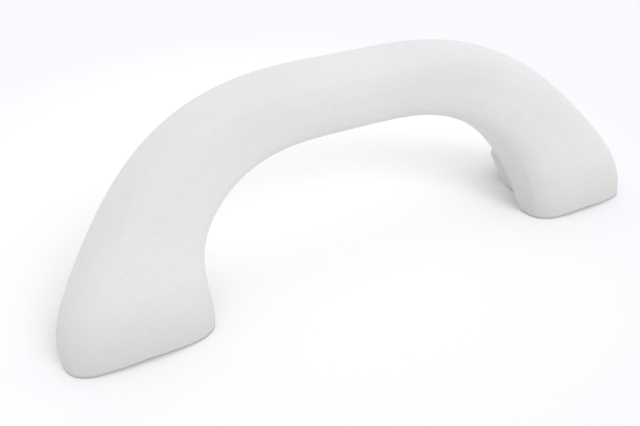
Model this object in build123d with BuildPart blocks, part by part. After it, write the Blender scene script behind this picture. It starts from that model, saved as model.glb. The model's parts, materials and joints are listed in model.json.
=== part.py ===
"""Folding roof grab handle, off the car, standing on the ends of its two feet.

Millimetres. X runs along the handle, Y from its front to its back, and Z up from the feet.
The files have the middle of the handle's length and depth at X 0 and Y 0.
The grip is an open-backed moulding whose feet each hold a hinge bracket on a steel pin.
"""

from build123d import *

import os
from math import ceil, copysign, cos, hypot, pi, radians, sin

# Sections of the handle, from the foot's end to the crown: the middle, half width and half depth
foot_x = 91.0
foot_half_width = 24.0
foot_half_depth = 11.4
foot_shift = -1.9
toe_x = 88.6
toe_z = 10.9
toe_half_width = 22.4
toe_half_depth = 13.4
toe_shift = -0.75
leg_x = 79.3
leg_z = 27.5
leg_half_width = 17.3
leg_half_depth = 12.3
shoulder_x = 68.8
shoulder_z = 38.9
shoulder_half_width = 15.4
shoulder_half_depth = 12.15
haunch_x = 43.9
haunch_z = 51.35
haunch_half_width = 13.8
haunch_half_depth = 11.9
crown_z = 54.6
crown_half_width = 13.0
crown_half_depth = 11.5
foot_squareness = 3.24
crown_squareness = 2.85
lean_slope = 0.404
lean_growth = 0.002
section_arcs = 12
outer_spans = 12
inner_spans = 14

middle_y = 13.0

# Moulding
wall = 2.5
rib = 2.2
rib_bury = 1.2
sole_relief = 1.3
sole_relief_half_span = 19.0
rim_y = -2.0
pocket_roof_z = 31.0
rim_lean = 44.0
grip_rib_pitch = 14.0
grip_rib_count = 5

# Back cover
cover_half_width = 8.6
cover_wall = 1.6
cover_seat_gap = 0.1
cover_edge_gap = 0.25
cover_ledge = 1.5
cover_corner = 3.0
cover_first_section = 3
hook_stations = (4, 5, 7, 8)
hook_length = 7.0
hook_thickness = 1.2
hook_gap = 0.35
hook_barb = 0.7
hook_barb_height = 1.5
hook_root = 0.5

# Hinge
hinge_y = -2.0
hinge_z = 6.5
pin_radius = 2.0
pin_seat_gap = 0.02
pin_running_gap = 0.05
pin_overhang = 0.6
pin_chamfer = 0.4
pin_slot = 3.5
knuckle_radius = 4.9

# Bracket
bracket_inner_x = 73.5
bracket_width = 25.0
bracket_side_gap = 0.3
swing_gap = 0.3
lug = 3.8
mount_lean = 50.0
heel_y = 16.3
mount_height = 18.0
bracket_depth = 20.0
bracket_base = 4.0
bracket_corner = 4.0
core_edge = 1.6
core_width = 2.6
core_height = 12.0
core_depth = 14.0
core_corner = 1.0
recess_radius = 6.75
bolt_radius = 3.3
collar_radius = 5.5
collar_gap = 0.03

# Screw cover, bump stop and pad
cap_width = 14.5
cap_height = 15.0
cap_wall = 1.4
cap_corner = 2.5
cap_gap = 0.15
cap_skirt = 3.5
cap_skirt_wall = 1.0
stop_inset = 2.9
stop_along = 13.5
stop_radius = 2.3
stop_height = 3.0
stop_gap = 0.1
stop_spigot_radius = 1.1
stop_spigot = 2.0
stop_post = 9.0
pad_thickness = 1.0
pad_width = 20.0
pad_height = 13.5
pad_hole_radius = 5.0
pad_corner = 2.0

# Return springs
wire_radius = 0.55
coil_radius = 3.3
coil_pitch = 1.2
coil_gap = 1.1
coil_steps = 12
wire_sides = 6
right_coil_turns = 4
left_coil_turns = 7
wall_leg = 4.2
bracket_leg = 10.5
leg_hole_radius = 0.75
leg_hole_depth = 1.6

# Damper
damper_radius = 4.75
damper_length = 9.2
damper_side_gap = 0.3
damper_wall = 0.85
damper_end = 1.0
damper_cap_thickness = 1.2
damper_bore_gap = 0.3
rotor_hub_radius = 2.75
rotor_gap = 0.15
seal_fit = 0.03
seal_length = 1.1
seal_groove = 1.5
damper_key = 3.0
damper_key_height = 2.0
damper_key_depth = 1.2
key_gap = 0.12

# Places that follow from the sizes above
handle_depth = 60.0
pocket_inner_x = bracket_inner_x - bracket_side_gap
pocket_outer_x = bracket_inner_x + bracket_width + bracket_side_gap
bracket_middle_x = bracket_inner_x + bracket_width / 2
pin_start_x = pocket_inner_x - rib - pin_overhang
pin_length = pocket_outer_x - pocket_inner_x + 2 * (rib + pin_overhang)
axle = Plane(origin=(0, hinge_y, hinge_z), x_dir=(0, 1, 0), z_dir=(1, 0, 0))

mount_up = Vector(0, sin(radians(mount_lean)), cos(radians(mount_lean)))
mount_in = Vector(0, -cos(radians(mount_lean)), sin(radians(mount_lean)))
heel = Vector(0, heel_y, 0)
front_heel = heel + mount_in * bracket_depth
mount_middle = heel + mount_up * (mount_height / 2) + Vector(bracket_middle_x, 0, 0)
mount_face = Plane(origin=mount_middle, x_dir=(1, 0, 0), z_dir=mount_in)
front_face = mount_face.offset(bracket_depth)
stop_place = (stop_inset - bracket_width / 2, stop_along - mount_height / 2)
front_top = front_heel + mount_up * mount_height
swing_radius = hypot(front_top.Y - hinge_y, front_top.Z - hinge_z) + swing_gap

# The face of the bracket's box that looks at the pin, and where the pin stands against it
lower_face = Plane(origin=heel + Vector(bracket_middle_x, 0, 0), x_dir=(1, 0, 0), z_dir=-mount_up)
axle_seen = lower_face.to_local_coords(Vector(bracket_middle_x, hinge_y, hinge_z))
axle_height = axle_seen.Y
axle_distance = axle_seen.Z
bracket_leg_height = axle_height - coil_radius

part_turn = (180 - mount_lean) / 360
damper_x = bracket_inner_x + lug + damper_side_gap
key_x = damper_x + damper_length / 2
right_coil_x = damper_x + damper_length + coil_gap
left_coil_x = bracket_inner_x + lug + coil_gap

rim_plane = Plane(
    origin=(0, rim_y, 0),
    x_dir=(1, 0, 0),
    z_dir=(0, cos(radians(rim_lean)), -sin(radians(rim_lean))),
)


def lean(z):
    """How far back the middle of the handle stands at a height."""
    return lean_slope * z + lean_growth * z**2


def guide_sections():
    """The handle's main sections from the right foot over the crown to the left foot."""
    half = [
        (foot_x, 0, foot_half_width, foot_half_depth, foot_shift),
        (toe_x, toe_z, toe_half_width, toe_half_depth, toe_shift),
        (leg_x, leg_z, leg_half_width, leg_half_depth, 0),
        (shoulder_x, shoulder_z, shoulder_half_width, shoulder_half_depth, 0),
        (haunch_x, haunch_z, haunch_half_width, haunch_half_depth, 0),
    ]
    crown = (0, crown_z, crown_half_width, crown_half_depth, 0)
    arch = half + [crown] + [(-x, z, w, d, s) for x, z, w, d, s in reversed(half)]
    middles = [Vector(x, lean(z), z) for x, z, w, d, s in arch]
    last = len(arch) - 1
    sections = []
    for k, (x, z, half_width, half_depth, shift) in enumerate(arch):
        if k in (0, last):
            along = Vector(0, 0, 1 if k == 0 else -1)
        else:
            along = (middles[k + 1] - middles[k - 1]).normalized()
        if k in (1, last - 1):
            along = (along + Vector(0, 0, copysign(1, x))).normalized()
        across = Vector(along.Z, 0, -along.X).normalized()
        place = Plane(origin=middles[k] + Vector(0, shift, 0), x_dir=across, z_dir=along)
        sections.append((place, half_width, half_depth))
    return sections


def stations(spans):
    """Even sections between three smooth rails: the outer edge, the inner edge and the front."""
    guides = guide_sections()
    with BuildLine():
        outer = Spline(*[place.origin + place.x_dir * half_width for place, half_width, half_depth in guides])
        inner = Spline(*[place.origin - place.x_dir * half_width for place, half_width, half_depth in guides])
        front = Spline(*[place.origin - place.y_dir * half_depth for place, half_width, half_depth in guides])
    shares = [k / spans for k in range(spans + 1)]
    middles = [(outer @ share + inner @ share) / 2 for share in shares]
    sections = []
    for k, share in enumerate(shares):
        width = outer @ share - inner @ share
        across = Vector(width.X, 0, width.Z).normalized()
        if k in (0, spans):
            along = Vector(0, 0, 1 if k == 0 else -1)
        else:
            along = middles[k + 1] - middles[k - 1]
            along = (along - across * along.dot(across)).normalized()
        place = Plane(origin=middles[k], x_dir=across, z_dir=along)
        half_depth = -(front @ share - middles[k]).dot(place.y_dir)
        squareness = crown_squareness + (foot_squareness - crown_squareness) * abs(2 * share - 1)
        sections.append((place, width.length / 2, half_depth, squareness))
    return sections


def skin_depth(u, half_width, half_depth, squareness):
    """How deep a section is at u across its width: a squared-off ellipse."""
    return half_depth * (1 - abs(u / half_width) ** squareness) ** (1 / squareness)


def skin(inset, spans=inner_spans, ruled=True):
    """The handle's rounded form, moved inwards by inset, lofted through sections of tangent arcs."""
    with BuildPart() as form:
        for place, half_width, half_depth, squareness in stations(spans):
            ring = []
            for k in range(2 * section_arcs + 1):
                turn = pi * (k % (2 * section_arcs)) / section_arcs
                u = copysign(abs(cos(turn)) ** (2 / squareness), cos(turn))
                v = copysign(abs(sin(turn)) ** (2 / squareness), sin(turn))
                ring.append((u * (half_width - inset), v * (half_depth - inset)))
            with BuildSketch(place):
                with BuildLine():
                    for k in range(0, 2 * section_arcs, 2):
                        ThreePointArc(*ring[k : k + 3])
                make_face()
        loft(ruled=ruled)
    return form.part


outer_skin = skin(0, outer_spans, ruled=False)
rotor_length = damper_length - damper_end - rotor_gap
cover_start_y = (lean(shoulder_z) + lean(crown_z)) / 2
cover_plane = Plane.XZ.offset(-cover_start_y)


def tube(outer, inner, start, length):
    """A ring about the hinge axis, which starts at a place along X."""
    with BuildPart() as ring:
        with BuildSketch(axle.offset(start)):
            Circle(outer)
            Circle(inner, mode=Mode.SUBTRACT)
        extrude(amount=length)
    return ring.part


def mirrored(piece):
    """The left foot's twin of a piece in the right foot."""
    with BuildPart() as twin:
        mirror(piece, about=Plane.YZ)
    return twin.part


def cover_prism(shrink):
    """A block through the rear wall, with the outline of the back cover less shrink all round."""
    spans = [place for place, *sizes in guide_sections()][cover_first_section : -cover_first_section]
    ends = [shrink] + [0] * (len(spans) - 2) + [-shrink]
    middles = [place.origin + place.z_dir * end for place, end in zip(spans, ends)]
    with BuildPart() as block:
        with BuildSketch(cover_plane) as outline:
            with BuildLine():
                edges = []
                for reach in (cover_half_width - shrink, shrink - cover_half_width):
                    points = [middle + place.x_dir * reach for middle, place in zip(middles, spans)]
                    edges.append(Spline(*[(point.X, point.Z) for point in points]))
                upper, lower = edges
                Line(upper @ 0, lower @ 0)
                Line(upper @ 1, lower @ 1)
            make_face()
            fillet(outline.vertices(), cover_corner - shrink)
        extrude(amount=-handle_depth)
    return block.part


def make_ribs():
    """The walls inside the moulding: two that carry each pin, a roof over each bracket, and the grip's own."""
    with BuildPart() as ribs:
        for wall_x in (pocket_inner_x - rib / 2, pocket_outer_x + rib / 2):
            with Locations((wall_x, 0, (pocket_roof_z + rib) / 2)):
                Box(rib, 2 * handle_depth, pocket_roof_z + rib)
        with Locations((bracket_middle_x, 0, pocket_roof_z + rib / 2)):
            Box(pocket_outer_x - pocket_inner_x + 2 * rib, 2 * handle_depth, rib)
        with BuildSketch(front_face.offset(stop_height + stop_gap)):
            with Locations(stop_place):
                Circle(stop_radius)
        extrude(amount=stop_post)
        with BuildSketch(front_face.offset(stop_height + stop_gap)):
            with Locations(stop_place):
                Circle(stop_spigot_radius)
        extrude(amount=-stop_spigot)
        mirror(about=Plane.YZ)
        for k in range(grip_rib_count):
            with Locations(((k - (grip_rib_count - 1) / 2) * grip_rib_pitch, 0, crown_z)):
                Box(rib, 2 * lean(crown_z), 2 * crown_half_width)
        add(skin(rib_bury), mode=Mode.INTERSECT)
    return ribs.part


def swing_room():
    """The room in the moulding that the right bracket needs as it swings down out of its pocket."""
    pocket_width = pocket_outer_x - pocket_inner_x
    with BuildPart() as room:
        with BuildSketch(axle.offset(pocket_inner_x)):
            Circle(swing_radius)
        extrude(amount=pocket_width)
        split(bisect_by=front_face.offset(swing_gap), keep=Keep.BOTTOM)
        split(bisect_by=Plane.XZ.offset(-hinge_y), keep=Keep.BOTTOM)
        with BuildSketch(axle.offset(pocket_inner_x)):
            Circle(knuckle_radius + swing_gap)
        extrude(amount=pocket_width)
    return room.part


def make_shell():
    """The handle's moulding: a hollow arch, open behind its feet, with a window for the back cover."""
    with BuildPart() as rebate:
        add(cover_prism(0))
        add(skin(cover_wall + cover_seat_gap), mode=Mode.SUBTRACT)
    with BuildPart() as shell:
        add(outer_skin)
        add(skin(wall), mode=Mode.SUBTRACT)
        add(make_ribs())
        split(bisect_by=rim_plane, keep=Keep.BOTTOM)
        add(cover_prism(cover_ledge), mode=Mode.SUBTRACT)
        add(rebate.part, mode=Mode.SUBTRACT)
        add(swing_room(), mode=Mode.SUBTRACT)
        add(mirrored(swing_room()), mode=Mode.SUBTRACT)
        relief_radius = (sole_relief_half_span**2 + sole_relief**2) / (2 * sole_relief)
        for side in (1, -1):
            with Locations((side * foot_x, 0, sole_relief - relief_radius)):
                Cylinder(relief_radius, 2 * handle_depth, rotation=(90, 0, 0), mode=Mode.SUBTRACT)
            with BuildSketch(axle.offset(side * pin_start_x)):
                Circle(pin_radius + pin_seat_gap)
                with Locations(Rotation(0, 0, -rim_lean - 90)):
                    Rectangle(pin_slot, handle_depth, align=(Align.CENTER, Align.MIN))
            extrude(amount=side * pin_length, mode=Mode.SUBTRACT)
    return shell.part


def make_back_cover():
    """The cover that closes the hollow grip from behind, flush with the moulding, and its snap hooks."""
    reach = cover_half_width - cover_ledge - hook_gap
    with BuildPart() as cover:
        add(cover_prism(cover_edge_gap))
        add(outer_skin, mode=Mode.INTERSECT)
        add(skin(cover_wall), mode=Mode.SUBTRACT)
        for k in hook_stations:
            place, half_width, half_depth, squareness = stations(outer_spans)[k]
            root = skin_depth(reach, half_width - cover_wall, half_depth - cover_wall, squareness) + hook_root
            catch = skin_depth(reach + hook_barb, half_width - wall, half_depth - wall, squareness) - hook_gap
            for side in (1, -1):
                with BuildSketch(place.offset(-hook_length / 2)):
                    with BuildLine():
                        Polyline(
                            (side * (reach - hook_thickness), root),
                            (side * reach, root),
                            (side * reach, catch),
                            (side * (reach + hook_barb), catch),
                            (side * reach, catch - hook_barb_height),
                            (side * (reach - hook_thickness), catch - hook_barb_height),
                            close=True,
                        )
                    make_face()
                extrude(amount=hook_length)
    return cover.part


def make_pin():
    """The hinge pin, with its ends chamfered."""
    with BuildPart() as pin:
        with BuildSketch(axle.offset(pin_start_x)):
            Circle(pin_radius)
        extrude(amount=pin_length)
        chamfer(pin.edges().filter_by(GeomType.CIRCLE), pin_chamfer)
    return pin.part


def make_bracket(leg_x, keyed):
    """A hinge bracket: a box on the roof, two lugs round the pin, and a recess for the bolt's head."""
    with BuildPart() as bracket:
        with BuildSketch(mount_face) as base:
            Rectangle(bracket_width, mount_height)
            fillet(base.vertices().group_by(Axis.Y)[-1], bracket_corner)
        extrude(amount=bracket_depth)
        for lug_x in (bracket_inner_x, bracket_inner_x + bracket_width - lug):
            with BuildSketch(Plane.YZ.offset(lug_x)):
                with BuildLine():
                    CenterArc((hinge_y, hinge_z), knuckle_radius, 0, 360)
                    Line((heel.Y, heel.Z), (front_heel.Y, front_heel.Z))
                make_hull()
            extrude(amount=lug)
        with BuildSketch(axle.offset(bracket_inner_x)):
            Circle(pin_radius + pin_running_gap)
        extrude(amount=bracket_width, mode=Mode.SUBTRACT)
        with BuildSketch(front_face):
            RectangleRounded(cap_width + 2 * cap_gap, cap_height + 2 * cap_gap, cap_corner)
        extrude(amount=-cap_wall, mode=Mode.SUBTRACT)
        with BuildSketch(front_face):
            Circle(recess_radius)
        extrude(amount=-(bracket_depth - bracket_base), mode=Mode.SUBTRACT)
        with BuildSketch(mount_face):
            Circle(collar_radius + collar_gap)
        extrude(amount=bracket_base, mode=Mode.SUBTRACT)
        with BuildSketch(mount_face):
            with GridLocations(bracket_width - 2 * core_edge - core_width, 0, 2, 1):
                RectangleRounded(core_width, core_height, core_corner)
        extrude(amount=core_depth, mode=Mode.SUBTRACT)
        with BuildSketch(lower_face):
            with Locations((leg_x - bracket_middle_x, bracket_leg_height)):
                Circle(leg_hole_radius)
            if keyed:
                with Locations((key_x - bracket_middle_x, axle_height)):
                    Rectangle(damper_key + 2 * key_gap, damper_key_height + 2 * key_gap)
        extrude(amount=-leg_hole_depth, mode=Mode.SUBTRACT)
    return bracket.part


def make_collar():
    """The steel sleeve that takes the bolt's load."""
    with BuildPart() as collar:
        with BuildSketch(mount_face):
            Circle(collar_radius)
            Circle(bolt_radius, mode=Mode.SUBTRACT)
        extrude(amount=bracket_base)
    return collar.part


def make_screw_cover():
    """The snap cover over the bolt's head: a plate in the front face and a skirt in the recess."""
    with BuildPart() as cap:
        with BuildSketch(front_face):
            RectangleRounded(cap_width, cap_height, cap_corner)
        extrude(amount=-cap_wall)
        with BuildSketch(front_face.offset(-cap_wall)):
            Circle(recess_radius - cap_gap)
            Circle(recess_radius - cap_gap - cap_skirt_wall, mode=Mode.SUBTRACT)
        extrude(amount=-cap_skirt)
    return cap.part


def make_bump_stop():
    """The rubber button on the moulding's post, which the bracket's front face rests against."""
    with BuildPart() as stop:
        with BuildSketch(front_face.offset(stop_gap)):
            with Locations(stop_place):
                Circle(stop_radius)
        extrude(amount=stop_height)
        with BuildSketch(front_face.offset(stop_gap + stop_height)):
            with Locations(stop_place):
                Circle(stop_spigot_radius + collar_gap)
        extrude(amount=-stop_spigot - collar_gap, mode=Mode.SUBTRACT)
    return stop.part


def make_pad():
    """The foam pad on the mounting face, with a hole round the bolt."""
    with BuildPart() as pad:
        with BuildSketch(mount_face):
            RectangleRounded(pad_width, pad_height, pad_corner)
            Circle(pad_hole_radius, mode=Mode.SUBTRACT)
        extrude(amount=-pad_thickness)
    return pad.part


def make_spring(start, turns):
    """A torsion spring round the pin: one leg up the front wall, the other into the bracket."""
    steps = ceil((turns + part_turn) * coil_steps)
    turn = 2 * pi * (turns + part_turn) / steps
    coil = [
        (coil_radius * cos(k * turn), coil_radius * sin(k * turn), coil_pitch * k * turn / (2 * pi))
        for k in range(steps + 1)
    ]
    end = Vector(*coil[-1])
    leg = Vector(-end.Y, end.X, 0).normalized() * bracket_leg
    with BuildPart() as spring:
        with BuildLine():
            route = Polyline((coil_radius, -wall_leg, 0), *coil, end + leg)
        with BuildSketch(Plane(origin=route @ 0, z_dir=route % 0)):
            RegularPolygon(wire_radius, wire_sides)
        sweep(transition=Transition.RIGHT)
    coil_start = Plane(origin=(start, hinge_y, hinge_z), x_dir=(0, -1, 0), z_dir=(1, 0, 0))
    return coil_start.location * spring.part


def make_damper_housing():
    """The damper's cup, which a key holds still in the bracket."""
    cup_length = damper_length - damper_cap_thickness
    with BuildPart() as housing:
        add(tube(damper_radius, damper_radius - damper_wall, damper_x, cup_length))
        add(tube(damper_radius, pin_radius + damper_bore_gap, damper_x, damper_end))
        with BuildSketch(lower_face.offset(axle_distance - damper_radius + damper_wall / 2)):
            with Locations((key_x - bracket_middle_x, axle_height)):
                Rectangle(damper_key, damper_key_height)
        extrude(amount=-(axle_distance - damper_radius + damper_wall / 2 + damper_key_depth))
    return housing.part


def make_damper_rotor():
    """The damper's rotor: a hub pressed on the pin and a drum that shears the grease."""
    with BuildPart() as rotor:
        hub_start = damper_x + damper_end + rotor_gap
        add(tube(rotor_hub_radius, pin_radius + pin_seat_gap, hub_start, rotor_length))
        drum_length = rotor_length - damper_cap_thickness - seal_groove
        add(tube(damper_radius - damper_wall - rotor_gap, pin_radius + pin_seat_gap, hub_start, drum_length))
    return rotor.part


def make_damper_seal():
    """The square ring that keeps the grease in, between the hub and the cup."""
    seal_x = damper_x + damper_length - damper_cap_thickness - seal_groove + (seal_groove - seal_length) / 2
    inner = rotor_hub_radius + seal_fit
    return tube(damper_radius - damper_wall - seal_fit, inner, seal_x, seal_length)


def make_damper_cap():
    """The damper's lid."""
    lid_x = damper_x + damper_length - damper_cap_thickness
    return tube(damper_radius, rotor_hub_radius + rotor_gap, lid_x, damper_cap_thickness)


left_leg_x = left_coil_x + coil_pitch * (left_coil_turns + part_turn)
right_leg_x = right_coil_x + coil_pitch * (right_coil_turns + part_turn)
pieces = {
    "grip_shell": make_shell(),
    "back_cover": make_back_cover(),
    "bracket_right": make_bracket(right_leg_x, keyed=True),
    "bracket_left": mirrored(make_bracket(left_leg_x, keyed=False)),
    "return_spring_right": make_spring(right_coil_x, right_coil_turns),
    "return_spring_left": mirrored(make_spring(left_coil_x, left_coil_turns)),
    "damper_housing": make_damper_housing(),
    "damper_rotor": make_damper_rotor(),
    "damper_seal": make_damper_seal(),
    "damper_cap": make_damper_cap(),
}
paired = {
    "hinge_pin": make_pin(),
    "bolt_collar": make_collar(),
    "screw_cover": make_screw_cover(),
    "bump_stop": make_bump_stop(),
    "foam_pad": make_pad(),
}
for name, piece in paired.items():
    pieces[f"{name}_right"] = piece
    pieces[f"{name}_left"] = mirrored(piece)

os.makedirs("parts", exist_ok=True)
for name, piece in pieces.items():
    placed = piece.moved(Location((0, -middle_y, 0)))
    placed.label = name
    export_step(placed, f"parts/{name}.step")
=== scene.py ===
"""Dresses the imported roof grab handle: its plastics, steels, rubber and foam, on a white stage."""

import json
import math

import bmesh
import bpy
import numpy as np
from mathutils import Matrix, Vector


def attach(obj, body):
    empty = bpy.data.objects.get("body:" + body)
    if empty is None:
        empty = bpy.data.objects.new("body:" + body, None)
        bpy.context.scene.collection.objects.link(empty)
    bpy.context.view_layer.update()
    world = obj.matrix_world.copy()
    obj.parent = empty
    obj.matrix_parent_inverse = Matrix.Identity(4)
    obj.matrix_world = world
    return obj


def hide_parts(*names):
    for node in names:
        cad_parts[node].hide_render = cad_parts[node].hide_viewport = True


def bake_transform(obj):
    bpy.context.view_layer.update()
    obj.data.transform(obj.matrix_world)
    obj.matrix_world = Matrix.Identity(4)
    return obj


bl_info = {
    "name": "Roof Grab Handle",
    "version": (1, 0, 0),
    "blender": (4, 5, 0),
    "location": "View3D > Sidebar > Grab Handle",
    "description": "Builds the looks of a folding roof grab handle",
    "category": "Object",
}

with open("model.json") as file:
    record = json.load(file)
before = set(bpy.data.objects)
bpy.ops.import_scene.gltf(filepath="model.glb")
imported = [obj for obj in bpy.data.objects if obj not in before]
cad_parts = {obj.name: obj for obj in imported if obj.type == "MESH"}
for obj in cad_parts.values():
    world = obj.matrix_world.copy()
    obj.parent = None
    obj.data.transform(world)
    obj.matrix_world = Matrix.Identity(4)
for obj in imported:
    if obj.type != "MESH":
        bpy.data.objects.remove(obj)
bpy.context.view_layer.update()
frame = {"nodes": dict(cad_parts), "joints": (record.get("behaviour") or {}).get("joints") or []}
NODES = frame["nodes"]
MM = 0.001
SIDES = {"right": 1.0, "left": -1.0}
HINGES = {joint["name"].split("_")[0]: Vector(joint["pos_m"]) / MM for joint in frame["joints"]}

# The bracket's planes, in millimetres: the middle of its mounting face, and the face's three directions
LEAN_DEGREES = 50
MOUNT_LEAN = math.radians(LEAN_DEGREES)
MOUNT_MIDDLE = np.array([86.0, 10.1944, 5.7851])
SIDEWAYS = np.array([1.0, 0.0, 0.0])
UPWARDS = np.array([0.0, math.sin(MOUNT_LEAN), math.cos(MOUNT_LEAN)])
INWARDS = np.array([0.0, -math.cos(MOUNT_LEAN), math.sin(MOUNT_LEAN)])
BRACKET_DEPTH = 20.0

# The bump stop's middle, from the middle of the bracket's inner face, in millimetres
STOP_BESIDE = -9.6
STOP_ABOVE = 4.5
STOP_GAP = 0.1

# A foam pad's thickness at its pulled-in edges, in millimetres
PAD_EDGE = 0.45

# The share of a turn that brings a spring from the front wall round to its leg in the bracket
PART_TURN = (180 - LEAN_DEGREES) / 360

# How finely each surface is drawn, and how near two of its points are when they are merged, in metres
COIL_POINTS = 36
WALL_LEG_POINTS = 8
BRACKET_LEG_POINTS = 12
WIRE_SIDES = 14
RIM_SIDES = 72
STOP_SIDES = 40
PAD_RINGS = 13
FLOOR_SQUARES = 8
WELD_DISTANCE = MM * 1e-4

# How squarely a direction faces the room's dim side where the light starts to fall, and where it ends
DIM_FROM = 0.2
DIMMEST = 0.9

IMAGE_WIDTH = 640
SENSOR_WIDTH = 36.0
FOCAL_PIXELS = 699.1


def linear(colour):
    """One sRGB hex value as linear red, green, blue and a full alpha."""
    channels = [int(colour[k : k + 2], 16) / 255 for k in (1, 3, 5)]
    return tuple(c / 12.92 if c <= 0.04045 else ((c + 0.055) / 1.055) ** 2.4 for c in channels) + (1.0,)


# Surfaces


def surface_object(name, points, caps=False, closed_rows=False):
    """A closed skin over a grid of points in millimetres, rows by columns.

    Each row is a ring, so columns always join up. Rows join up too on a ring-shaped piece. With caps,
    one many-sided face closes each end of a tube.
    """
    rows, columns = points.shape[:2]
    last = rows if closed_rows else rows - 1
    row, column = np.meshgrid(np.arange(last), np.arange(columns), indexing="ij")
    here, below = row * columns, (row + 1) % rows * columns
    beside = (column + 1) % columns
    quads = np.stack([here + column, here + beside, below + beside, below + column], -1)
    faces = quads.reshape(-1, 4).tolist()
    if caps:
        faces += [list(range(columns)), list(range((rows - 1) * columns, rows * columns))]
    mesh = bpy.data.meshes.new(name)
    mesh.from_pydata((points.reshape(-1, 3) * MM).tolist(), [], faces)
    shaped = bmesh.new()
    shaped.from_mesh(mesh)
    bmesh.ops.remove_doubles(shaped, verts=shaped.verts, dist=WELD_DISTANCE)
    bmesh.ops.recalc_face_normals(shaped, faces=shaped.faces)
    shaped.to_mesh(mesh)
    shaped.free()
    mesh.shade_smooth()
    made = bpy.data.objects.new(name, mesh)
    bpy.context.scene.collection.objects.link(made)
    return made


def tube_points(path, radius, sides):
    """Rings about a path: each point carries a circle square to the path.

    A ring point lies at radius times the cosine and sine of its angle along two directions: the first is
    the hinge's own direction with its part along the path taken away, the second is square to both.
    """
    ahead = np.gradient(path, axis=0)
    ahead /= np.linalg.norm(ahead, axis=1)[:, None]
    first = SIDEWAYS - ahead * (ahead @ SIDEWAYS)[:, None]
    first /= np.linalg.norm(first, axis=1)[:, None]
    second = np.cross(ahead, first)
    turn = np.linspace(0, 2 * np.pi, sides, endpoint=False)[None, :, None]
    return path[:, None] + radius * (np.cos(turn) * first[:, None] + np.sin(turn) * second[:, None])


def spring_path(sizes, side, start, turns):
    """A straight leg up the front wall, a helix round the hinge, and a straight leg into the bracket.

    The helix stands at its radius times the cosine and sine of its angle, and each turn moves it one
    pitch along the hinge.
    """
    hinge = np.array(HINGES[side])
    last = 2 * np.pi * (turns + PART_TURN)
    turn = np.linspace(0, last, int(COIL_POINTS * (turns + PART_TURN)))
    round_hinge = (sizes.coil_radius * np.cos(turn), sizes.coil_radius * np.sin(turn))
    coil = np.stack([*round_hinge, sizes.pitch * turn / (2 * np.pi)], -1)
    up = np.linspace(sizes.wall_leg, 0, WALL_LEG_POINTS, endpoint=False)[:, None]
    wall_run = coil[0] + up * np.array([0.0, -1.0, 0.0])
    out = np.linspace(0, sizes.bracket_leg, BRACKET_LEG_POINTS)[1:, None]
    bracket_run = coil[-1] + out * np.array([-math.sin(last), math.cos(last), 0.0])
    local = np.concatenate([wall_run, coil, bracket_run])
    along = SIDES[side] * (start + local[:, 2])
    return np.stack([along, hinge[1] - local[:, 0], hinge[2] - local[:, 1]], -1)


def rounded_rectangle(turn, half_width, half_height, squareness):
    """How far a rounded rectangle's edge lies from its middle in each direction: a squared ellipse.

    The cosine over the half width and the sine over the half height are each raised to squareness. The
    distance is one over their sum's root of the same order.
    """
    across = np.abs(np.cos(turn) / half_width) ** squareness
    up = np.abs(np.sin(turn) / half_height) ** squareness
    return (across + up) ** (-1 / squareness)


def disc_points(middle, profile, outline, sides):
    """Rings on the bracket's slope: a profile turned about a middle.

    The profile lists each ring's share of the outline, added radius and height. A ring lies its height
    along the slope's own normal, as far out as its share of the outline and its radius say.
    """
    turn = np.linspace(0, 2 * np.pi, sides, endpoint=False)
    share, radius, height = np.array(profile).T[:, :, None]
    reach = share * outline(turn)[None] + radius
    flat = reach[..., None] * (np.cos(turn)[:, None] * SIDEWAYS + np.sin(turn)[:, None] * UPWARDS)[None]
    return middle + flat + height[..., None] * INWARDS


def rounded_step(share, radius, height, bend, start, end, steps=4):
    """Profile points round a small bend between two directions, given as angles in degrees."""
    turn = np.radians(np.linspace(start, end, steps + 1))
    return [(share, radius + bend * math.cos(a), height + bend * math.sin(a)) for a in turn]


def on_side(middle, side):
    """A right foot's place, or the same place in the left foot."""
    return middle * np.array([SIDES[side], 1.0, 1.0])


# Materials


def add_node(tree, kind, inputs, **settings):
    """Adds one shader node: settings are its own, and inputs go to its shown sockets by name or number.

    An input is a value, a socket, or a node, whose first shown output is then linked.
    """
    made = tree.nodes.new(kind)
    for name, value in settings.items():
        setattr(made, name, value)
    for key, value in inputs.items():
        if isinstance(key, int):
            socket = made.inputs[key]
        else:
            socket = next(shown for shown in made.inputs if shown.name == key and shown.enabled)
        if isinstance(value, bpy.types.Node):
            value = next(output for output in value.outputs if output.enabled)
        if isinstance(value, bpy.types.NodeSocket):
            tree.links.new(value, socket)
        else:
            socket.default_value = value
    return made


def blank_material(name):
    """A new material with an empty node tree, and that tree's Object coordinates."""
    made = bpy.data.materials.new(name)
    made.use_nodes = True
    tree = made.node_tree
    tree.nodes.clear()
    return made, tree, add_node(tree, "ShaderNodeTexCoord", {}).outputs["Object"]


def cover_with(obj, material):
    """Gives every face of an object one material."""
    obj.data.materials.clear()
    obj.data.materials.append(material)


def repeats(size_mm):
    """The texture scale at which a pattern's features are about this many millimetres across."""
    return 1 / (size_mm * MM)


def cloudy(tree, place, size_mm, detail, low, high):
    """A share that goes from 0 to 1 where noise of a size rises from low to high: soft-edged patches."""
    inputs = {"Vector": place, "Scale": repeats(size_mm), "Detail": detail}
    noise = add_node(tree, "ShaderNodeTexNoise", inputs)
    return add_node(tree, "ShaderNodeMapRange", {"Value": noise, "From Min": low, "From Max": high})


def drawn_out(tree, place, stretch, size_mm, detail):
    """Noise of a size, drawn out into streaks where stretch divides a direction's scale."""
    streaked = add_node(tree, "ShaderNodeMapping", {"Vector": place, "Scale": stretch})
    inputs = {"Vector": streaked, "Scale": repeats(size_mm), "Detail": detail}
    return add_node(tree, "ShaderNodeTexNoise", inputs)


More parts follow.
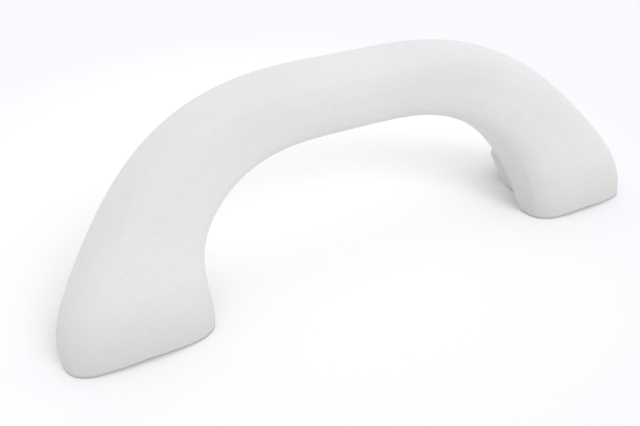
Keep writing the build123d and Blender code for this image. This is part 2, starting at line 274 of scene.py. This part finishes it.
def held_between(value, low, high, out_low, out_high):
    """A Map Range node's inputs: a value taken from one range to another, and held inside the new one."""
    return {"Value": value, "From Min": low, "From Max": high, "To Min": out_low, "To Max": out_high}


def coated(tree, colour, *coats):
    """A colour with coats laid over it in turn, each with its own share and sRGB hex value."""
    base = linear(colour)
    for share, coat in coats:
        inputs = {"Factor": share, "A": base, "B": linear(coat)}
        base = add_node(tree, "ShaderNodeMix", inputs, data_type="RGBA")
    return base


def finish_material(tree, colour, roughness, height, bump_mm, **shader):
    """Joins colour, roughness and height to a shader and the output."""
    bump = add_node(tree, "ShaderNodeBump", {"Height": height, "Distance": bump_mm * MM, "Strength": 1.0})
    inputs = {"Base Color": colour, "Roughness": roughness, "Normal": bump, **shader}
    surface = add_node(tree, "ShaderNodeBsdfPrincipled", inputs)
    add_node(tree, "ShaderNodeOutputMaterial", {"Surface": surface})


# Its last two colours are painted shade near the floor and a painted shadow along the feet's lowest edge
def grained_polypropylene(name, colour, shaded, smudge, foot_shade_colour="#C6C5C2", lip="#8F8D8A"):
    """Polypropylene moulded against a spark-eroded tool: a fine matte grain that spreads every highlight.

    The real grain is about 0.3 mm across and is drawn at 0.8 mm, so that it shows at all. Broad clouds
    of tone and a few handled smudges stand for a used surface. Painted shade darkens every face towards
    the bottom below 20 mm, and a painted shadow darkens the lowest 1.2 mm, where the feet meet the floor.
    """
    made, tree, place = blank_material(name)
    grain = add_node(tree, "ShaderNodeTexNoise", {"Vector": place, "Scale": repeats(0.8), "Detail": 2.0})
    grained = add_node(tree, "ShaderNodeMapRange", held_between(grain, 0.4, 0.7, 0.0, 0.45))
    cloud = cloudy(tree, place, size_mm=45.0, detail=1.0, low=0.35, high=0.65)
    mark = cloudy(tree, place, size_mm=11.0, detail=3.0, low=0.62, high=0.78)
    smudged = add_node(tree, "ShaderNodeMath", {0: mark, 1: 0.35}, operation="MULTIPLY")
    height = add_node(tree, "ShaderNodeSeparateXYZ", {"Vector": place}).outputs["Z"]
    # Painted shade: darker towards the bottom, from 20 mm above the floor down to 1 mm
    painted_foot_shade = add_node(tree, "ShaderNodeMapRange", held_between(height, 20 * MM, 1 * MM, 0.0, 0.55))
    # Painted shadow: a dark band along the lowest 1.2 mm, where the feet's edges stand just off the floor
    painted_gap_shadow = add_node(tree, "ShaderNodeMapRange", held_between(height, 1.2 * MM, 0.3 * MM, 0.0, 0.5))
    coats = ((cloud, shaded), (grained, smudge), (smudged, smudge), (painted_foot_shade, foot_shade_colour), (painted_gap_shadow, lip))
    gloss = add_node(tree, "ShaderNodeMapRange", held_between(mark, 0.0, 1.0, 0.6, 0.5))
    finish_material(tree, coated(tree, colour, *coats), gloss, grain, bump_mm=0.06, IOR=1.49)
    return made


def glass_filled_nylon(name, colour, fibre):
    """Glass-filled nylon, moulded: a dry, slightly mottled face where short fibres lie along the flow.

    The real fibres are about 0.01 mm thick and are drawn 0.45 mm apart, so that they show at all.
    """
    made, tree, place = blank_material(name)
    strands = drawn_out(tree, place, (0.25, 1.0, 1.0), size_mm=0.45, detail=2.0)
    share = add_node(tree, "ShaderNodeMapRange", {"Value": strands, "From Min": 0.5, "From Max": 0.75})
    gloss = add_node(tree, "ShaderNodeMapRange", held_between(share, 0.0, 1.0, 0.62, 0.48))
    finish_material(tree, coated(tree, colour, (share, fibre)), gloss, strands, bump_mm=0.02, IOR=1.53)
    return made


def acetal(name, colour, swirl):
    """Acetal, moulded: a smooth, faintly waxy face with soft flow marks about 4 mm across."""
    made, tree, place = blank_material(name)
    flow = drawn_out(tree, place, (0.4, 1.0, 1.0), size_mm=4.0, detail=3.0)
    swirled = add_node(tree, "ShaderNodeMapRange", {"Value": flow, "From Min": 0.35, "From Max": 0.7})
    gloss = add_node(tree, "ShaderNodeMapRange", held_between(flow, 0.3, 0.7, 0.38, 0.5))
    finish_material(tree, coated(tree, colour, (swirled, swirl)), gloss, flow, bump_mm=0.008, IOR=1.48)
    return made


def drawn_steel(name, colour, tarnish, stretch):
    """Steel wire or rod, drawn and plated: fine die lines along its length over a slightly dulled face.

    The real lines are a few hundredths of a millimetre apart and are drawn 0.35 mm apart to show at all.
    """
    made, tree, place = blank_material(name)
    lines = drawn_out(tree, place, stretch, size_mm=0.35, detail=2.0)
    dulled = cloudy(tree, place, size_mm=3.0, detail=2.0, low=0.45, high=0.75)
    gloss = add_node(tree, "ShaderNodeMapRange", held_between(lines, 0.3, 0.7, 0.28, 0.45))
    base = coated(tree, colour, (dulled, tarnish))
    finish_material(tree, base, gloss, lines, bump_mm=0.006, Metallic=1.0)
    return made


def turned_steel(name, colour, tarnish):
    """Steel turned on a lathe and zinc plated: fine tool marks about 0.2 mm apart under a dull bloom."""
    made, tree, place = blank_material(name)
    marks = add_node(tree, "ShaderNodeTexNoise", {"Vector": place, "Scale": repeats(0.2), "Detail": 1.0})
    dulled = cloudy(tree, place, size_mm=2.5, detail=2.0, low=0.4, high=0.7)
    gloss = add_node(tree, "ShaderNodeMapRange", held_between(marks, 0.3, 0.7, 0.3, 0.42))
    base = coated(tree, colour, (dulled, tarnish))
    finish_material(tree, base, gloss, marks, bump_mm=0.005, Metallic=1.0)
    return made


def moulded_rubber(name, colour, bloom, roughness):
    """Black rubber, moulded: dark and dull, with a grey bloom in patches about 2 mm across."""
    made, tree, place = blank_material(name)
    skin = add_node(tree, "ShaderNodeTexNoise", {"Vector": place, "Scale": repeats(0.6), "Detail": 2.0})
    bloomed = cloudy(tree, place, size_mm=2.2, detail=3.0, low=0.5, high=0.8)
    gloss = add_node(tree, "ShaderNodeMapRange", held_between(bloomed, 0.0, 1.0, roughness, 0.9))
    finish_material(tree, coated(tree, colour, (bloomed, bloom)), gloss, skin, bump_mm=0.02, IOR=1.52)
    return made


def closed_cell_foam(name, colour, cell_colour):
    """Closed-cell polyethylene foam, skived: cut cells about 0.6 mm across with pale rims."""
    made, tree, place = blank_material(name)
    cells = add_node(tree, "ShaderNodeTexVoronoi", {"Vector": place, "Scale": repeats(0.6)})
    rim = add_node(tree, "ShaderNodeMapRange", {"Value": cells, "From Min": 0.25, "From Max": 0.7})
    finish_material(tree, coated(tree, colour, (rim, cell_colour)), 0.92, rim, bump_mm=0.12, IOR=1.5)
    return made


class HandleLooks(bpy.types.PropertyGroup):
    """The colours of the handle's plastics, steels, rubber and foam, as sRGB hex values."""

    grip_colour: bpy.props.StringProperty(
        name="Grip", description="The moulding's pale grey", default="#E5E5E5"
    )
    grip_shade: bpy.props.StringProperty(
        name="Grip shade", description="The moulding's deeper clouds of tone", default="#E0E0E0"
    )
    cover_colour: bpy.props.StringProperty(
        name="Back cover", description="The back cover's plastic", default="#E0E0E0"
    )
    cover_shade: bpy.props.StringProperty(
        name="Back cover shade", description="The back cover's deeper clouds", default="#DADADA"
    )
    screw_cover_colour: bpy.props.StringProperty(
        name="Screw cover", description="The screw covers' plastic", default="#DEDEDC"
    )
    screw_cover_shade: bpy.props.StringProperty(
        name="Screw cover shade", description="The screw covers' deeper clouds", default="#D8D8D6"
    )
    smudge_colour: bpy.props.StringProperty(
        name="Smudge", description="Where hands have marked the moulding", default="#D9D9D8"
    )
    # Partly the brackets' own nylon grey and partly painted shade: a touch darker for where they sit in
    # shade under the feet
    bracket_colour_and_shade: bpy.props.StringProperty(
        name="Bracket", description="The hinge brackets' plastic", default="#D6D5D1"
    )
    damper_colour: bpy.props.StringProperty(
        name="Damper", description="The damper's black cup and lid", default="#232325"
    )
    rotor_colour: bpy.props.StringProperty(
        name="Rotor", description="The damper rotor's undyed plastic", default="#D8D4C6"
    )
    steel_colour: bpy.props.StringProperty(
        name="Steel", description="The plated steel of the pins and sleeves", default="#B9BABC"
    )
    wire_colour: bpy.props.StringProperty(
        name="Spring wire", description="The oiled steel of the springs", default="#8A8C90"
    )
    foam_colour: bpy.props.StringProperty(
        name="Foam", description="The dark foam of the pads", default="#1C1D1F"
    )
    stop_colour: bpy.props.StringProperty(
        name="Bump stop", description="The black rubber of the stops", default="#161616"
    )


class SpringSizes(bpy.types.PropertyGroup):
    """The return springs, in millimetres."""

    wire_radius: bpy.props.FloatProperty(
        name="Wire radius", description="Half the wire's thickness", default=0.55
    )
    coil_radius: bpy.props.FloatProperty(
        name="Coil radius", description="From the hinge to the wire's middle", default=3.3
    )
    pitch: bpy.props.FloatProperty(name="Pitch", description="From one turn to the next", default=1.2)
    right_turns: bpy.props.IntProperty(
        name="Right turns", description="Whole turns beside the damper", default=4
    )
    left_turns: bpy.props.IntProperty(
        name="Left turns", description="Whole turns in the left foot", default=7
    )
    right_start: bpy.props.FloatProperty(
        name="Right start", description="How far out the right coil begins", default=87.9
    )
    left_start: bpy.props.FloatProperty(
        name="Left start", description="How far out the left coil begins", default=78.4
    )
    wall_leg: bpy.props.FloatProperty(
        name="Wall leg", description="The leg on the front wall", default=4.2
    )
    bracket_leg: bpy.props.FloatProperty(
        name="Bracket leg", description="The leg in the bracket", default=10.5
    )


class TrimSizes(bpy.types.PropertyGroup):
    """The screw covers, foam pads and bump stops, in millimetres."""

    cover_width: bpy.props.FloatProperty(
        name="Cover width", description="Across the handle", default=14.5
    )
    cover_height: bpy.props.FloatProperty(
        name="Cover height", description="Up the bracket's face", default=15.0
    )
    cover_wall: bpy.props.FloatProperty(
        name="Cover wall", description="The plate's thickness", default=1.4
    )
    skirt_radius: bpy.props.FloatProperty(
        name="Skirt radius", description="Outside of the skirt", default=6.6
    )
    skirt_depth: bpy.props.FloatProperty(
        name="Skirt depth", description="How far the skirt reaches in", default=3.5
    )
    pad_width: bpy.props.FloatProperty(name="Pad width", description="Across the handle", default=20.0)
    pad_height: bpy.props.FloatProperty(
        name="Pad height", description="Up the mounting face", default=13.5
    )
    pad_thickness: bpy.props.FloatProperty(
        name="Pad thickness", description="At its fullest", default=1.0
    )
    pad_hole: bpy.props.FloatProperty(name="Pad hole", description="Radius round the bolt", default=5.0)
    stop_radius: bpy.props.FloatProperty(
        name="Stop radius", description="Of the rubber button", default=2.3
    )
    stop_height: bpy.props.FloatProperty(
        name="Stop height", description="Of the rubber button", default=3.0
    )


class StageSettings(bpy.types.PropertyGroup):
    """The floor, the lights and the camera."""

    floor_width: bpy.props.FloatProperty(
        name="Floor width", description="Width of the white floor", default=6.0, unit="LENGTH"
    )
    # The next four settings paint a falloff of light on the paper: whitest round a middle, greyer and
    # bluer farther out
    floor_falloff_tone: bpy.props.StringProperty(
        name="Floor rim", description="The paper's sRGB hex tone away from the handle", default="#F3F2F9"
    )
    light_pool_middle: bpy.props.FloatVectorProperty(
        name="Rim middle", description="Where it is whitest", default=(-0.01, 0.05, 0.0), unit="LENGTH"
    )
    falloff_from: bpy.props.FloatProperty(
        name="Rim from", description="How far from there the tone starts", default=0.08, unit="LENGTH"
    )
    falloff_to: bpy.props.FloatProperty(
        name="Rim to", description="How far from there it is full", default=0.18, unit="LENGTH"
    )
    wall_tone: bpy.props.StringProperty(
        name="Wall tone", description="The backdrop's sRGB hex tone behind the paper", default="#FBFAFF"
    )
    floor_bounce: bpy.props.StringProperty(
        name="Floor bounce", description="The paper's sRGB hex tone where it lights", default="#EEEEEE"
    )
    room_light: bpy.props.FloatProperty(
        name="Room light", description="Strength of the even light", default=1.08
    )
    dim_side: bpy.props.FloatVectorProperty(
        name="Dim side",
        description="The room's darkest side, behind the camera",
        default=(-0.1, -0.8, 0.55),
        subtype="DIRECTION",
    )
    dim_share: bpy.props.FloatProperty(
        name="Dim share", description="The light that is missing there", default=0.42, subtype="FACTOR"
    )
    lamp_strength: bpy.props.FloatProperty(
        name="Lamp strength", description="Strength of the soft front light", default=0.82
    )
    lamp_spread: bpy.props.FloatProperty(
        name="Lamp spread",
        description="Angle that the soft light fills",
        default=math.radians(38),
        unit="ROTATION",
    )
    lamp_place: bpy.props.FloatVectorProperty(
        name="Lamp place",
        description="Where the soft light comes from",
        default=(0.3, -0.8, 0.75),
        unit="LENGTH",
    )
    eye: bpy.props.FloatVectorProperty(
        name="Eye",
        description="Where the camera stands",
        default=(-0.11727, -0.18383, 0.15934),
        unit="LENGTH",
    )
    pitch: bpy.props.FloatProperty(
        name="Pitch",
        description="How far the camera looks down",
        default=math.radians(34.3775),
        unit="ROTATION",
    )
    yaw: bpy.props.FloatProperty(
        name="Yaw",
        description="How far the camera looks right",
        default=math.radians(28.2876),
        unit="ROTATION",
    )
    roll: bpy.props.FloatProperty(
        name="Roll", description="How far the camera tips", default=math.radians(-0.5823), unit="ROTATION"
    )


class GRABHANDLE_OT_plastics(bpy.types.Operator):
    """Finishes the moulding, its cover, the brackets and the damper"""

    bl_idname = "grab_handle.plastics"
    bl_label = "Finish the plastic pieces"

    def execute(self, context):
        looks = context.scene.handle_looks
        grip = (looks.grip_colour, looks.grip_shade, looks.smudge_colour)
        cover = (looks.cover_colour, looks.cover_shade, looks.smudge_colour)
        cover_with(NODES["grip_shell"], grained_polypropylene("grained_polypropylene", *grip))
        cover_with(NODES["back_cover"], grained_polypropylene("grained_polypropylene_cover", *cover))
        nylon = glass_filled_nylon("glass_filled_nylon", looks.bracket_colour_and_shade, fibre="#DEDDD9")
        for side in SIDES:
            cover_with(NODES[f"bracket_{side}"], nylon)
        black = acetal("black_acetal", looks.damper_colour, swirl="#2E2E31")
        for node in ("damper_housing", "damper_cap"):
            cover_with(NODES[node], black)
        cover_with(NODES["damper_rotor"], acetal("natural_acetal", looks.rotor_colour, swirl="#E2DFD3"))
        return {"FINISHED"}


class GRABHANDLE_OT_metal_and_rubber(bpy.types.Operator):
    """Finishes the pins, the bolt sleeves and the damper's seal"""

    bl_idname = "grab_handle.metal_and_rubber"
    bl_label = "Finish the pins, sleeves and seal"

    def execute(self, context):
        steel = context.scene.handle_looks.steel_colour
        rod = drawn_steel("zinc_plated_rod", steel, tarnish="#9C9A94", stretch=(0.08, 1.0, 1.0))
        sleeve = turned_steel("turned_zinc_sleeve", steel, tarnish="#A8A48F")
        for side in SIDES:
            cover_with(NODES[f"hinge_pin_{side}"], rod)
            cover_with(NODES[f"bolt_collar_{side}"], sleeve)
        seal = moulded_rubber("greased_nitrile", "#1A1A1A", bloom="#26241F", roughness=0.35)
        cover_with(NODES["damper_seal"], seal)
        return {"FINISHED"}


class GRABHANDLE_OT_springs(bpy.types.Operator):
    """Winds the two return springs from round wire"""

    bl_idname = "grab_handle.springs"
    bl_label = "Wind the return springs"

    def execute(self, context):
        sizes = context.scene.spring_sizes
        colour = context.scene.handle_looks.wire_colour
        wire = drawn_steel("oiled_spring_wire", colour, tarnish="#6E6C68", stretch=(0.3, 1.0, 1.0))
        for side, start, turns in (
            ("right", sizes.right_start, sizes.right_turns),
            ("left", sizes.left_start, sizes.left_turns),
        ):
            path = spring_path(sizes, side, start, turns)
            points = tube_points(path, sizes.wire_radius, WIRE_SIDES)
            spring = surface_object(f"return_spring_wire_{side}", points, caps=True)
            cover_with(spring, wire)
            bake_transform(spring)
            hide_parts(f"return_spring_{side}")
        return {"FINISHED"}


class GRABHANDLE_OT_trim(bpy.types.Operator):
    """Shapes the screw covers, the foam pads and the bump stops"""

    bl_idname = "grab_handle.trim"
    bl_label = "Shape the covers, pads and stops"

    def execute(self, context):
        sizes = context.scene.trim_sizes
        looks = context.scene.handle_looks
        tones = (looks.screw_cover_colour, looks.screw_cover_shade, looks.smudge_colour)
        grained = grained_polypropylene("grained_screw_cover", *tones)
        foam = closed_cell_foam("closed_cell_foam", looks.foam_colour, cell_colour="#35373A")
        rubber = moulded_rubber("moulded_rubber_stop", looks.stop_colour, bloom="#2C2B29", roughness=0.7)
        for side in SIDES:
            self.screw_cover(sizes, side, grained)
            self.foam_pad(sizes, side, foam)
            self.bump_stop(sizes, side, rubber)
        return {"FINISHED"}

    def screw_cover(self, sizes, side, material):
        """A softly domed plate with rounded edges, and a round skirt with a rounded lip behind it.

        The dome falls with the square of the share of the way from the middle to the plate's edge.
        """
        bend, skirt_bend, dome, skirt_wall = 0.35, 0.3, 0.12, 1.0
        ring = sizes.skirt_radius
        inside = ring - skirt_wall
        back = -sizes.cover_wall
        end = back - sizes.skirt_depth
        profile = [(share, 0.0, dome * (1 - share**2)) for share in (0.0, 0.2, 0.4, 0.6, 0.8, 0.9)]
        profile += rounded_step(1.0, -bend, -bend, bend, 90, 0)
        profile += rounded_step(1.0, -bend, back + bend, bend, 0, -90)
        profile += [(0.0, ring, back), (0.0, ring, back - skirt_bend)]
        profile += rounded_step(0.0, ring - skirt_bend, end + skirt_bend, skirt_bend, 0, -90)
        profile += [(0.0, inside, end), (0.0, inside, back), (0.0, 0.0, back)]

        def outline(turn):
            return rounded_rectangle(turn, sizes.cover_width / 2, sizes.cover_height / 2, squareness=6.5)

        middle = on_side(MOUNT_MIDDLE + INWARDS * BRACKET_DEPTH, side)
        points = disc_points(middle, profile, outline, RIM_SIDES)
        cover = surface_object(f"screw_cover_cap_{side}", points)
        cover_with(cover, material)
        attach(cover, f"{side}_bracket")
        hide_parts(f"screw_cover_{side}")

    def foam_pad(self, sizes, side, material):
        """A thin pillow with a hole: full in the middle of its band and pulled in at both edges.

        Its thickness goes from the edge's to the full one with the square root of the sine of half a turn.
        """
        full = sizes.pad_thickness
        band = np.linspace(0.0, 1.0, PAD_RINGS)
        swell = PAD_EDGE + (full - PAD_EDGE) * np.sin(np.pi * band) ** 0.5
        profile = [(across, sizes.pad_hole * (1 - across), -thick) for across, thick in zip(band, swell)]
        profile += [(1.0, 0.0, 0.0), (0.0, sizes.pad_hole, 0.0)]

        def outline(turn):
            return rounded_rectangle(turn, sizes.pad_width / 2, sizes.pad_height / 2, squareness=7.0)

        points = disc_points(on_side(MOUNT_MIDDLE, side), profile, outline, RIM_SIDES)
        pad = surface_object(f"foam_pillow_{side}", points, closed_rows=True)
        cover_with(pad, material)
        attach(pad, f"{side}_bracket")
        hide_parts(f"foam_pad_{side}")

    def bump_stop(self, sizes, side, material):
        """A rubber button: a flat face with a rounded rim."""
        bend, low, high = 0.5, STOP_GAP, STOP_GAP + sizes.stop_height
        ring = sizes.stop_radius
        profile = [(0.0, 0.0, low), (0.0, ring / 2, low)]
        profile += rounded_step(0.0, ring - bend, low + bend, bend, -90, 0)
        profile += [(0.0, ring, high), (0.0, 0.0, high)]
        inner_face = MOUNT_MIDDLE + INWARDS * BRACKET_DEPTH
        place = inner_face + STOP_BESIDE * SIDEWAYS + STOP_ABOVE * UPWARDS
        points = disc_points(on_side(place, side), profile, np.ones_like, STOP_SIDES)
        stop = surface_object(f"bump_stop_button_{side}", points)
        cover_with(stop, material)
        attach(stop, "grip")
        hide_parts(f"bump_stop_{side}")


class GRABHANDLE_OT_stage(bpy.types.Operator):
    """Builds the white floor, the soft lights and the camera"""

    bl_idname = "grab_handle.stage"
    bl_label = "Build the stage"

    def execute(self, context):
        settings = context.scene.stage_settings
        self.floor(context, settings)
        self.lights(context, settings)
        self.camera(context, settings)
        context.scene.view_settings.view_transform = "Standard"
        return {"FINISHED"}

    def floor(self, context, settings):
        """White paper in a grid of squares: whitest round the handle in a painted pool of light, and
        duller where it only lights.
        """
        half = settings.floor_width / 2
        steps = np.linspace(-half, half, FLOOR_SQUARES + 1)
        across, along = np.meshgrid(steps, steps)
        points = np.stack([across, along, np.zeros_like(across)], -1).reshape(-1, 3)
        row, column = np.indices((FLOOR_SQUARES, FLOOR_SQUARES)).reshape(2, -1)
        near = row * (FLOOR_SQUARES + 1) + column
        far = near + FLOOR_SQUARES + 1
        mesh = bpy.data.meshes.new("paper_floor")
        mesh.from_pydata(points.tolist(), [], np.stack([near, near + 1, far + 1, far], -1).tolist())
        floor = bpy.data.objects.new("paper_floor", mesh)
        context.scene.collection.objects.link(floor)
        paper, tree, place = blank_material("white_paper")
        # Painted light: the paper is whitest near the handle and turns a shade greyer and bluer farther
        # out
        away = {0: place, 1: settings.light_pool_middle}
        inputs = {
            "Value": add_node(tree, "ShaderNodeVectorMath", away, operation="DISTANCE"),
            "From Min": settings.falloff_from,
            "From Max": settings.falloff_to,
        }
        rim = add_node(tree, "ShaderNodeMapRange", inputs)
        tone = coated(tree, "#FFFFFF", (rim, settings.floor_falloff_tone))
        inputs = {"Factor": self.seen_by_camera(tree), "A": linear(settings.floor_bounce), "B": tone}
        lit = add_node(tree, "ShaderNodeMix", inputs, data_type="RGBA")
        white = add_node(tree, "ShaderNodeBsdfDiffuse", {"Color": lit})
        add_node(tree, "ShaderNodeOutputMaterial", {"Surface": white})
        cover_with(floor, paper)

    def seen_by_camera(self, tree):
        """1 where the camera sees it straight, in a gloss or through glass, and 0 where it lights."""
        path = add_node(tree, "ShaderNodeLightPath", {}).outputs
        seen = path["Is Camera Ray"]
        for ray in ("Is Glossy Ray", "Is Transmission Ray"):
            seen = add_node(tree, "ShaderNodeMath", {0: seen, 1: path[ray]}, operation="MAXIMUM")
        return seen

    def lights(self, context, settings):
        """A white room, dimmer behind the camera, and one broad soft light from the front and above."""
        world = bpy.data.worlds.new("even_room")
        context.scene.world = world
        world.use_nodes = True
        tree = world.node_tree
        tree.nodes.clear()
        ray = add_node(tree, "ShaderNodeTexCoord", {}).outputs["Generated"]
        facing = {0: ray, 1: settings.dim_side}
        facing = add_node(tree, "ShaderNodeVectorMath", facing, operation="DOT_PRODUCT")
        dim = settings.room_light * (1 - settings.dim_share)
        falling = held_between(facing, DIM_FROM, DIMMEST, settings.room_light, dim)
        room = add_node(tree, "ShaderNodeMapRange", falling)
        seen = self.seen_by_camera(tree)
        # What the camera sees has a strength of 1, and what only lights has the room's
        strength = {"Factor": seen, "A": room, "B": 1.0}
        strength = add_node(tree, "ShaderNodeMix", strength, data_type="FLOAT")
        wall = coated(tree, "#FFFFFF", (seen, settings.wall_tone))
        sky = add_node(tree, "ShaderNodeBackground", {"Color": wall, "Strength": strength})
        add_node(tree, "ShaderNodeOutputWorld", {"Surface": sky})
        lamp = bpy.data.lights.new("soft_front_light", "SUN")
        lamp.angle = settings.lamp_spread
        lamp.energy = settings.lamp_strength
        hung = bpy.data.objects.new("soft_front_light", lamp)
        context.scene.collection.objects.link(hung)
        place = Vector(settings.lamp_place)
        aimed = (-place).to_track_quat("-Z", "Y").to_matrix().to_4x4()
        hung.matrix_world = Matrix.Translation(place) @ aimed

    def camera(self, context, settings):
        """A camera that stands and looks as the photograph's did."""
        data = bpy.data.cameras.new("photo_camera")
        data.sensor_width = SENSOR_WIDTH
        data.lens = FOCAL_PIXELS * SENSOR_WIDTH / IMAGE_WIDTH
        camera = bpy.data.objects.new("photo_camera", data)
        context.scene.collection.objects.link(camera)
        pitch, yaw, roll = settings.pitch, settings.yaw, settings.roll
        flat = math.cos(pitch)
        ahead = Vector((math.sin(yaw) * flat, math.cos(yaw) * flat, -math.sin(pitch)))
        level = Vector((math.cos(yaw), -math.sin(yaw), 0))
        below = ahead.cross(level)
        right = level * math.cos(roll) + below * math.sin(roll)
        down = below * math.cos(roll) - level * math.sin(roll)
        turned = Matrix((right, -down, -ahead)).transposed().to_4x4()
        camera.matrix_world = Matrix.Translation(settings.eye) @ turned
        context.scene.camera = camera


class GRABHANDLE_PT_panel(bpy.types.Panel):
    """Lists the handle's settings and the steps that build it"""

    bl_idname = "GRABHANDLE_PT_panel"
    bl_label = "Grab Handle"
    bl_space_type = "VIEW_3D"
    bl_region_type = "UI"
    bl_category = "Grab Handle"

    def draw(self, context):
        for group in SETTINGS:
            box = self.layout.box()
            settings = getattr(context.scene, group)
            for name in settings.bl_rna.properties.keys():
                if name not in ("rna_type", "name"):
                    box.prop(settings, name)
        for step in STEPS:
            self.layout.operator(step.bl_idname)


SETTINGS = {
    "handle_looks": HandleLooks,
    "spring_sizes": SpringSizes,
    "trim_sizes": TrimSizes,
    "stage_settings": StageSettings,
}
STEPS = (
    GRABHANDLE_OT_plastics,
    GRABHANDLE_OT_metal_and_rubber,
    GRABHANDLE_OT_springs,
    GRABHANDLE_OT_trim,
    GRABHANDLE_OT_stage,
)


def register():
    """Registers the classes and hangs the settings on the scene."""
    for item in (*SETTINGS.values(), *STEPS, GRABHANDLE_PT_panel):
        bpy.utils.register_class(item)
    for name, group in SETTINGS.items():
        setattr(bpy.types.Scene, name, bpy.props.PointerProperty(type=group))


def unregister():
    """Takes the settings and the classes away again."""
    for name in SETTINGS:
        delattr(bpy.types.Scene, name)
    for item in (GRABHANDLE_PT_panel, *reversed(STEPS), *reversed(SETTINGS.values())):
        bpy.utils.unregister_class(item)


def main():
    """Builds everything in order."""
    register()
    bpy.ops.grab_handle.plastics()
    bpy.ops.grab_handle.metal_and_rubber()
    bpy.ops.grab_handle.springs()
    bpy.ops.grab_handle.trim()
    bpy.ops.grab_handle.stage()


if __name__ == "__main__":
    main()
